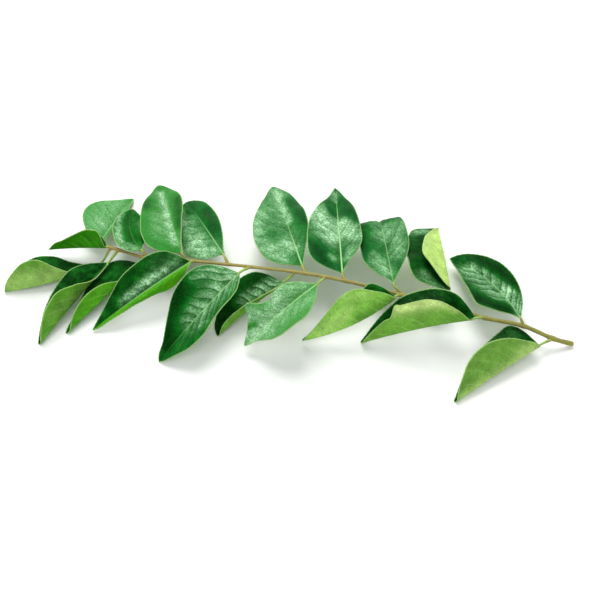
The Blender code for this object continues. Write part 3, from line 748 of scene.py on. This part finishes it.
def make_leaflet(leaf, look, seed, finishes):
    """The blade, bent to its node's shape and then given its relief, with a wall of real thickness."""
    def place(row, column):
        side = column * 2 - 1
        across = np.sign(side) * np.abs(side) ** MARGIN_SPREAD
        points, out, margin = leaf_surface(leaf, row, across)
        normal = np.cross(np.gradient(points, axis=0), np.gradient(points, axis=1)) * leaf.row
        normal /= np.maximum(np.linalg.norm(normal, axis=-1, keepdims=True), TINY)
        height = relief(leaf, look, seed, row, across, out, points)
        # Painted light: the half at the cut end may take a lighter upper colour than the other half.
        base_upper = linear(look.base_upper or look.upper)
        facts = {
            "vein": vein_phase(look.pairs, row, across),
            "from_rib": out / (RIB_LINE * (1 - RIB_LINE_TAPER * row)),
            "from_margin": margin,
            "rib_pale": look.rib * np.clip((look.rib_end - row) / RIB_FADE, 0, 1),
            "sheen": strokes_over(leaf, look.sheen, row, across, out),
            "fingers": np.full(out.shape, look.fingers),
            "pale": strokes_over(leaf, look.pale, row, across, out),
            "dark_veins": np.full(out.shape, look.veins),
            "upper": np.where(across[..., None] < 0, base_upper, linear(look.upper)),
            "under": np.broadcast_to(linear(look.under), (*out.shape, 4)),
        }
        return points + normal * height[..., None], facts

    mesh, facts = bent_grid(ROWS, COLUMNS, place)
    if leaf.row == NEAR:
        bmesh.ops.reverse_faces(mesh, faces=mesh.faces)
    blade = finish_mesh(leaf.name + "_blade", mesh, facts, finishes)
    wall = blade.modifiers.new("thickness", "SOLIDIFY")
    wall.thickness = BLADE_THICKNESS * MM
    wall.offset = 0
    wall.material_offset = 1
    wall.material_offset_rim = 2
    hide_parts(leaf.name)


def make_rib(leaf, finish):
    """The stalk and, running on from it, the midrib that stands out under the blade."""
    root, stalk_way = stalk_start(leaf)
    reach, ways, asides, ups = midrib(leaf)
    leave, arrive = stalk_way * leaf.stalk, ways[0] * leaf.stalk
    steps = np.linspace(0, 1, STALK_ROWS + 1)
    stalk = [hermite(share, root, reach[0], leave, arrive) for share in steps]
    on_blade = np.linspace(0, RIB_REACH, RIB_ROWS + 1)[1:]
    centre, aside, up = along_midrib(on_blade, (reach, asides, ups))
    count = STALK_ROWS + 1 + RIB_ROWS
    sides = np.vstack([np.repeat(asides[:1], STALK_ROWS + 1, axis=0), aside])
    tops = np.vstack([np.repeat(ups[:1], STALK_ROWS + 1, axis=0), up])
    share = np.linspace(0, 1, count)
    on_stalk = np.clip(1 - np.arange(count) / STALK_ROWS, 0, 1)
    radius = RIB_RADIUS * (1 - RIB_TAPER * share)
    radius = radius + STALK_FOOT * on_stalk**2 + STALK_BELLY * np.sin(on_stalk * math.pi)
    sink = RIB_SINK + radius[STALK_ROWS + 1 :] * np.clip(on_blade / RIB_SETTLE, 0, 1)
    middles = np.vstack([stalk, centre - up * sink[:, None]])
    greened = GREENING[leaf.row] * (1 - on_stalk) + share

    def place(row, column):
        radii = np.broadcast_to(radius[:, None], row.shape)
        facts = {"along": np.broadcast_to(greened[:, None], row.shape)}
        return wrap((row, column), middles, sides, tops, radii), facts

    mesh, facts = bent_grid(count - 1, RIB_COLUMNS, place)
    close_tube(mesh, facts["along"])
    piece = finish_mesh(leaf.name + "_stalk", mesh, {}, [finish])
    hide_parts(leaf.name)


def make_rachis(finish, cut_finish):
    """The stem: tapered, swollen at each leaflet, lightly ridged, with a fresh cut at its end."""
    alongs, middles = rachis_line()
    ways = np.gradient(middles, axis=0)
    ways /= np.linalg.norm(ways, axis=1, keepdims=True)
    asides = np.cross((0, 0, 1), ways)
    asides /= np.linalg.norm(asides, axis=1, keepdims=True)
    ups = np.cross(ways, asides)
    radius = rachis_radius(alongs)
    for leaf in LEAFLETS:
        radius = radius * (1 + NODE_SWELLING * np.exp(-(((alongs - leaf.along) / NODE_REACH) ** 2)))

    def place(row, column):
        turn = column * 2 * math.pi
        ridges = sum(height * np.sin(row * run + turn * around) for run, around, height in RIDGES)
        return wrap((row, column), middles, asides, ups, radius[:, None] * (1 + ridges)), {"along": row}

    mesh, facts = bent_grid(RACHIS_ROWS, RACHIS_COLUMNS, place)
    close_tube(mesh, facts["along"])
    for face in mesh.faces:
        face.material_index = int(face.calc_center_median().x > -CUT_FACE_DEPTH)
    piece = finish_mesh("rachis_stem", mesh, {}, [finish, cut_finish])
    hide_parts("rachis")


def make_hairs(finish):
    """Short soft hairs all round the stem."""
    chance = random.Random(HAIR_SEED)
    mesh = bmesh.new()
    for _ in range(HAIR_COUNT):
        along = chance.uniform(HAIR_START, RACHIS_LENGTH)
        middle = Vector(rachis_middle(along))
        ahead, behind = rachis_middle(along + HAIR_STEP), rachis_middle(along - HAIR_STEP)
        way = (Vector(ahead) - Vector(behind)).normalized()
        out = way.orthogonal().normalized()
        out.rotate(Quaternion(way, chance.uniform(0, 2 * math.pi)))
        lean = (out + way * chance.uniform(*HAIR_LEANS)).normalized()
        length = chance.uniform(*HAIR_LENGTHS)
        turn = lean.to_track_quat("Z", "Y").to_matrix().to_4x4()
        foot = Matrix.Translation(middle + out * rachis_radius(along) * HAIR_ROOT + lean * length / 2)
        cone = {"radius1": HAIR_RADIUS, "radius2": 0, "depth": length, "matrix": foot @ turn}
        bmesh.ops.create_cone(mesh, cap_ends=True, segments=3, **cone)
    piece = finish_mesh("rachis_hairs", mesh, {}, [finish])
    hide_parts("rachis")


def route_shift():
    """From route coordinates to the frame: the rachis's own box gives both ends of the move."""
    alongs, middles = rachis_line()
    radii = rachis_radius(alongs)
    low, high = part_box("rachis")
    own = [-RACHIS_LENGTH / 2]
    for axis in (1, 2):
        least = (middles[:, axis] - radii).min()
        own.append((least + (middles[:, axis] + radii).max()) / 2)
    return Vector((np.array(low) + np.array(high)) / 2 / MM - np.array(own))


# ---------------------------------------------------------------- stage

AIM_ON_ROUTE = (-78.8, -5.0, 7.0)  # what the camera and the lights look at, in route millimetres
# From here on, metres, degrees and watts.
CAMERA_AZIMUTH = 13.5
CAMERA_ELEVATION = 58.0
CAMERA_DISTANCE = 0.288
CAMERA_CLIP = 0.01
CAMERA_LENS = 60.0  # in millimetres, as is the sensor
CAMERA_SENSOR = 36
TABLE_REACH = 6
SKY_STRENGTH = 0.65
# Each softbox's azimuth, elevation, distance, size and power.
SOFTBOXES = {"back_softbox": (200, 52, 0.9, 0.6, 8), "front_fill": (-25, 45, 1.1, 0.8, 4)}


def look_from(azimuth, elevation):
    """Unit vector towards a viewer: azimuth 0 is the front, and it turns towards +X."""
    azimuth, elevation = math.radians(azimuth), math.radians(elevation)
    level = math.cos(elevation)
    return Vector((math.sin(azimuth) * level, -math.cos(azimuth) * level, math.sin(elevation)))


def point_at_sprig(name, data, azimuth, elevation, distance):
    """Adds a light or a camera that looks at the sprig from there."""
    made = new_object(name, data)
    made.location = AIM + look_from(azimuth, elevation) * distance
    made.rotation_euler = (made.location - AIM).to_track_quat("Z", "Y").to_euler()
    return made


def make_table():
    """The matte white table top under the sprig."""
    mesh = bmesh.new()
    bmesh.ops.create_grid(mesh, x_segments=1, y_segments=1, size=TABLE_REACH)
    data = bpy.data.meshes.new("table_top")
    mesh.to_mesh(data)
    mesh.free()
    data.materials.append(plain("matte_white_table", "#f4f4f1", 0.8))
    new_object("table_top", data)


def make_lights():
    """An even pale sky, a softbox behind the sprig and a fill in front of it."""
    world = bpy.data.worlds.new("studio")
    world.use_nodes = True
    sky = world.node_tree.nodes["Background"]
    sky.inputs["Color"].default_value = linear("#f4f7fa")
    sky.inputs["Strength"].default_value = SKY_STRENGTH
    bpy.context.scene.world = world
    for name, (azimuth, elevation, distance, size, watts) in SOFTBOXES.items():
        light = bpy.data.lights.new(name, "AREA")
        light.shape = "DISK"
        light.size = size
        light.energy = watts
        point_at_sprig(name, light, azimuth, elevation, distance)


def make_camera():
    """The camera. Its view shows colours as they are, without a film's curve."""
    lens = bpy.data.cameras.new("camera")
    lens.lens = CAMERA_LENS
    lens.sensor_width = CAMERA_SENSOR
    lens.clip_start = CAMERA_CLIP
    camera = point_at_sprig("camera", lens, CAMERA_AZIMUTH, CAMERA_ELEVATION, CAMERA_DISTANCE)
    bpy.context.scene.camera = camera
    bpy.context.scene.view_settings.view_transform = "Standard"


ROUTE_SHIFT = route_shift()
AIM = (Vector(AIM_ON_ROUTE) + ROUTE_SHIFT) * MM
make_table()
make_lights()
make_camera()
blade_finishes = [upper_side(), underside(), leaf_margin()]
stalk_finish = stem_skin("leaflet_stalk_skin", "#9a8340", "#8db350")
# The fresh cut: pale, damp wood and pith. The hairs: colourless, so they only lighten the stem's outline.
make_rachis(stem_skin("green_stem_skin", "#87873c", "#93823f"), plain("pale_cut_wood", "#c9b98a", 0.7))
make_hairs(plain("pale_stem_hair", "#b7b184", 0.6))
for number, leaf in enumerate(LEAFLETS):
    make_leaflet(leaf, LOOKS[leaf.name], number, blade_finishes)
    make_rib(leaf, stalk_finish)
